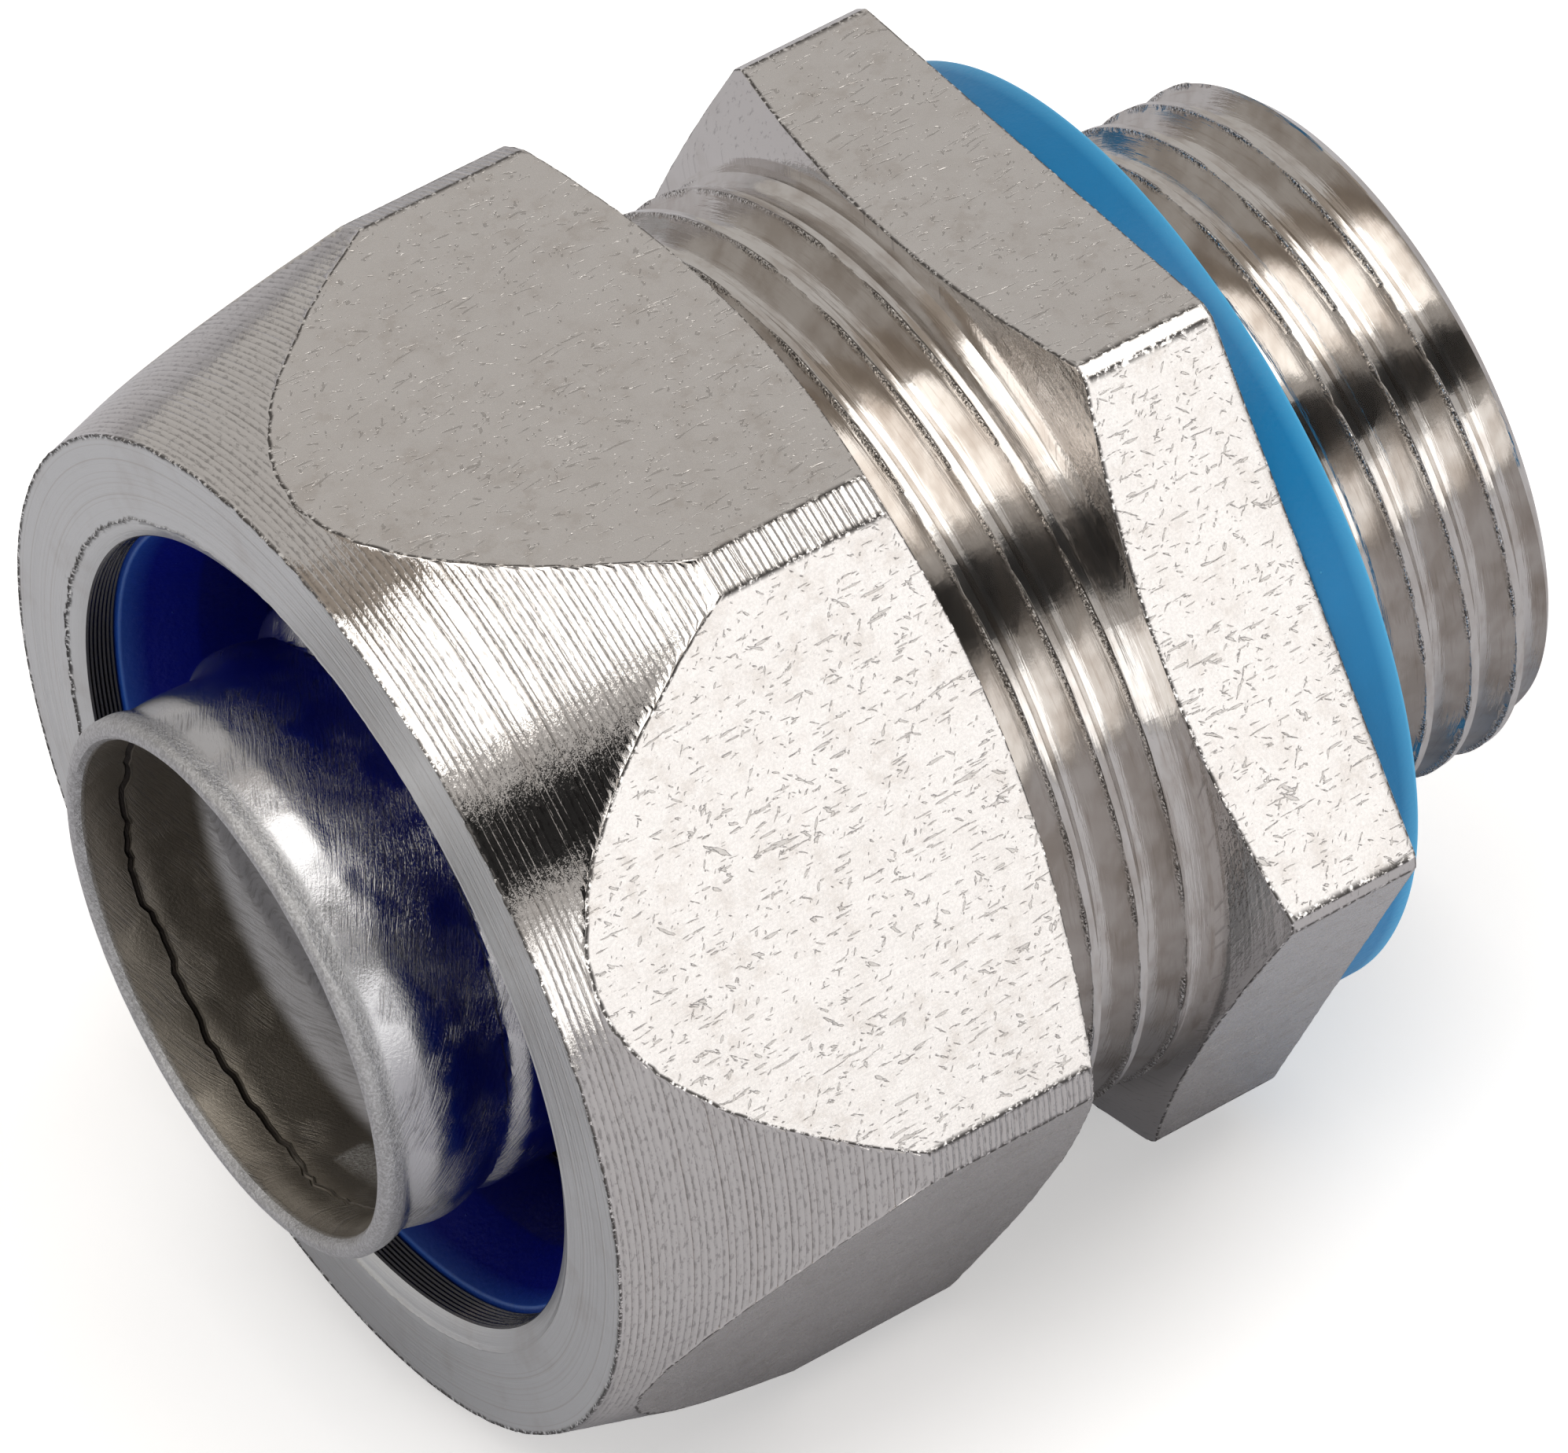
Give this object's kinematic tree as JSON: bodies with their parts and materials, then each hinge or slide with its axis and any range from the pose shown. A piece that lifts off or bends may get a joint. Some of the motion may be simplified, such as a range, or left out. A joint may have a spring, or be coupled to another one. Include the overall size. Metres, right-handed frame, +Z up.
{
  "type": "liquid-tight conduit gland",
  "caption": "Straight metal gland with a hexagonal compression nut, spiral ferrule, clamping ring, hexagonal body and a flat gasket on its entry thread.",
  "frame": {"origin": "on the gland's axis, in the plane of the collar's sealing face", "axes": "+X along the axis towards the entry thread's end, +Z up through a flat of the collar, +Y completes the right hand"},
  "size_m": [0.0366, 0.034, 0.0306],
  "materials": {
    "nickel_plate": "nickel-plated, satin with fine scratches",
    "nickel_plate_nut": "nickel-plated, turned grooves on the nose, satin flats",
    "navy_plastic": "smooth semi-gloss",
    "zinc_steel": "zinc-plated, satin",
    "blue_rubber": "smooth, slightly glossy"
  },
  "bodies": {
    "body": {"gland_body": "nickel_plate", "flat_gasket": "blue_rubber"},
    "ring": {"clamping_ring": "navy_plastic"},
    "nut": {"compression_nut": "nickel_plate_nut"},
    "ferrule_tube": {"ferrule": "zinc_steel"}
  },
  "joints": [
    {"name": "ring_slide", "type": "slide", "parent": "body", "child": "ring", "axis": [1, 0, 0], "range_m": [-0.0045, 0.002]},
    {"name": "nut_spin", "type": "hinge", "parent": "ring", "child": "nut", "pos_m": [-0.018, 0, 0], "axis": [1, 0, 0], "range_deg": [-1080, 480]},
    {"name": "ferrule_spin", "type": "hinge", "parent": "body", "child": "ferrule_tube", "pos_m": [-0.012, 0, 0], "axis": [1, 0, 0], "continuous": true}
  ],
  "couplings": [
    {"joint": "ring_slide", "follows": "nut_spin", "m_per_rad": 0.00023873}
  ]
}
